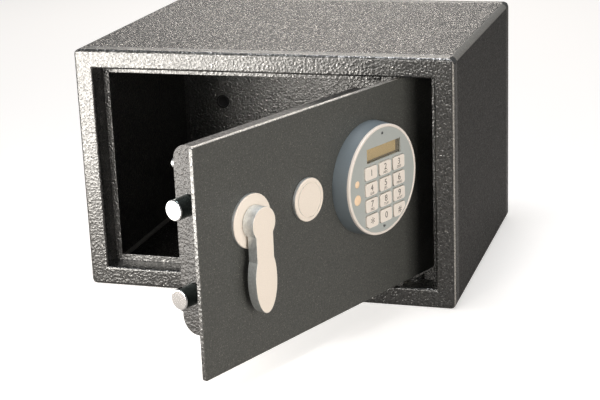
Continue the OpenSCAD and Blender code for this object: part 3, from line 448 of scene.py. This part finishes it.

# Bolts: two chromed round bars, riveted to a bent zinc-plated bar and guided by a plate. Their
# tips are clear mirrors; the rest is a darker, grey-green copy of the chrome, a painted
# reflection.
chrome = metal("chromed_steel", "#e4e5e6", 0.12, 4)
shaft_reflection_chrome = metal("oiled_chrome", "#66706f", 0.2, 4)
along = Vector((0.374607, 0.927184, 0))
for node in ("bolt_upper", "bolt_lower"):
    piece = softened(node, 0.35, chrome, shaft_reflection_chrome)
    for face in piece.data.polygons:
        face.material_index = 0 if face.normal.dot(along) < -0.5 else 1
coat(zinc_plate, "bolt_bar", "bolt_guide")

# Handle: a die-cast lever and rosette. A warm satin lacquer makes their faces an even cream, and
# their sides are bare satin nickel, a cool blurred mirror. The spindle runs in a nylon bush and
# ends in a zinc-plated crank.
satin_lacquer = moulded("satin_lacquer", "#f7ecdf", 0.4, 0.5, 0.01)
satin_nickel = metal("satin_nickel", "#e9eded", 0.5, 1.5)
for node, width_mm in (("lever_handle", 0.6), ("handle_rosette", 0.25)):
    piece = softened(node, width_mm, satin_lacquer, satin_nickel)
    two_finishes(piece)
coat(zinc_plate, "handle_spindle", "spindle_crank")
coat(natural_nylon, "spindle_bush")

# Solenoid: a bent steel frame, a chromed plunger with its return spring, and a copper winding
# under clear tape, which makes it a softly shining orange-brown.
coil_tape = moulded("copper_coil_tape", "#b4652a", 0.5, 0.4, 0.03)
coat(zinc_plate, "solenoid_frame", "plunger_spring")
coat(coil_tape, "solenoid_coil")
coat(chrome, "solenoid_plunger")

# Key lock: a plated barrel with its nut and cam, and a chromed plug. The round cover over it has
# the lever's lacquer on its face and bare nickel round its side.
coat(zinc_plate, "key_lock_body", "key_lock_nut", "key_lock_cam")
coat(chrome, "key_lock_plug")
cover = softened("key_lock_cover", 0.2, satin_lacquer, satin_nickel)
two_finishes(cover)

# Keypad housing: a drum moulded in dull blue-grey ABS, with a smoother and shinier off-white
# ring pressed on its front. The flat face inside the ring is a cool grey satin film on a plastic
# plate, and the board behind it is glass laminate under deep green lacquer.
drum_plastic = moulded("blue_grey_abs", "#747e84", 0.42, 0.7, 0.02)
softened("keypad_housing", 0.3, drum_plastic)
rim_plastic = moulded("off_white_abs", "#ece3da", 0.3, 0.7, 0.01)
softened("keypad_rim", 0.25, rim_plastic)
face_film = moulded("grey_satin_film", "#b2b7b4", 0.4, 0.5, 0.01)
softened("keypad_face", 0.15, face_film, segments=2)
board_green = moulded("green_board_laminate", "#1d5a34", 0.4, 0.5, 0.02)
coat(board_green, "circuit_board")
coat(black_plastic, "key_switches")
coat(zinc_plate, "keypad_screws")


# Display: a black module with an amber panel sunk into it, so that the side of the recess shows
# dark, under a clear window. The two status lenses beside the keys are domed and pale peach.
def on_door(s_mm, n_mm, z_mm):
    """Place on the door: X along it from the free edge, Y into the cabinet, Z up."""
    corner, inward = Vector((0.0250296, -0.326719, 0)), -outward
    spot = corner + along * (s_mm / 1000) + inward * (n_mm / 1000) + Vector((0, 0, z_mm / 1000))
    axes = Matrix((along, inward, Vector((0, 0, 1)))).transposed().to_4x4()
    return Matrix.Translation(spot) @ axes


# Unlit liquid crystal panel: a flat amber brown. The window over it is polished acrylic, nearly
# clear, with sharp mirror images.
display_panel = moulded("amber_display_panel", "#b59d6c", 0.35, 3, 0.005)
clear_window = moulded("clear_display_window", "#f4ead2", 0.06, 3, 0.002)
clear_window.node_tree.nodes["Principled BSDF"].inputs["Alpha"].default_value = 0.1
softened("display_window", 0.1, clear_window, segments=2)
module_size = (0.044, 0.0045, 0.0127)
module_s, module_n, module_z = 189, -9.84, 137.5
border_mm, recess_mm = 1.1, 2.2
bpy.ops.object.select_all(action="DESELECT")
bpy.ops.mesh.primitive_cube_add(size=1)
module = bpy.context.object
module.name = "display_module_finish"
module.data.transform(Matrix.Diagonal((*module_size, 1)))
inset_and_move(module, Vector((0, -1, 0)), border_mm, -recess_mm)
rounded(module, 0.15, 2)
module.data.materials.append(black_plastic)
module.data.materials.append(display_panel)
for face in module.data.polygons:
    sunken = face.normal.y < -0.99 and face.center.y > -0.001
    face.material_index = 1 if sunken else 0
module.data.transform(on_door(module_s, module_n, module_z))
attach(module, "door")
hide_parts("display_module")
# Polished tinted acrylic: pale peach with a small sharp highlight.
peach_lens = moulded("peach_lens_plastic", "#ffdfbd", 0.15, 1.5, 0.005)
for node in ("status_lens_small", "status_lens_large"):
    softened(node, 0.3, peach_lens)

# Keys: twelve caps with rounded edges, in four rows of three, moulded in creamy, dull ABS. Their
# digits, and the letters under eight of them, are printed on in a flat dark grey.
key_plastic = moulded("off_white_key_plastic", "#f2e9df", 0.38, 0.5, 0.01)
key_print = moulded("dark_grey_print", "#5f5c58", 0.55, 0.4, 0.01)
middle_s, middle_z = 189, 106.2
column_mm, row_mm = 17.2, 12.3
digit_mm, star_mm, letters_mm = 7, 11, 2.9
digit_up, letters_down, star_down = 0.8, 3.2, 2
cap_front, print_mm = -15.64, 0.03
legends = "123456789*0#"
letters = {
    "2": "ABC", "3": "DEF", "4": "GHI", "5": "JKL", "6": "MNO", "7": "PRS", "8": "TUV", "9": "WXY"
}
for count, text in enumerate(legends):
    node = "key_" + {"*": "star", "#": "hash"}.get(text, text)
    softened(node, 0.5, key_plastic)
    s = middle_s + (count % 3 - 1) * column_mm
    z = middle_z + (1.5 - count // 3) * row_mm
    if text in letters:
        marks = [("_digit", text, digit_mm, z + digit_up)]
        marks.append(("_letters", letters[text], letters_mm, z - letters_down))
    elif text == "*":
        marks = [("_digit", text, star_mm, z - star_down)]
    else:
        marks = [("_digit", text, digit_mm, z)]
    for ending, body, size_mm, height in marks:
        bpy.ops.object.select_all(action="DESELECT")
        bpy.ops.object.text_add()
        print_mark = bpy.context.object
        print_mark.data.body = body
        print_mark.data.size = size_mm / 1000
        print_mark.data.align_x, print_mark.data.align_y = "CENTER", "CENTER"
        print_mark.data.extrude = print_mm / 1000
        bpy.ops.object.convert(target="MESH")
        print_mark = bpy.context.object
        print_mark.name = node + ending
        print_mark.data.transform(on_door(s, cap_front, height) @ upright)
        print_mark.data.materials.append(key_print)
        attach(print_mark, node + "_cap")

# Power: a black moulded battery box with its cover, four cells in shrink sleeve, printed a glossy
# copper brown, and the reset button of polished bright red plastic in its switch.
cell_sleeve = moulded("copper_cell_sleeve", "#a5763c", 0.3, 2, 0.005)
red_plastic = moulded("red_button_plastic", "#a3231c", 0.3, 0.8, 0.01)
coat(black_plastic, "battery_box", "reset_switch")
coat(cell_sleeve, "battery_cells")
softened("battery_cover", 0.4, black_plastic)
coat(red_plastic, "reset_button")
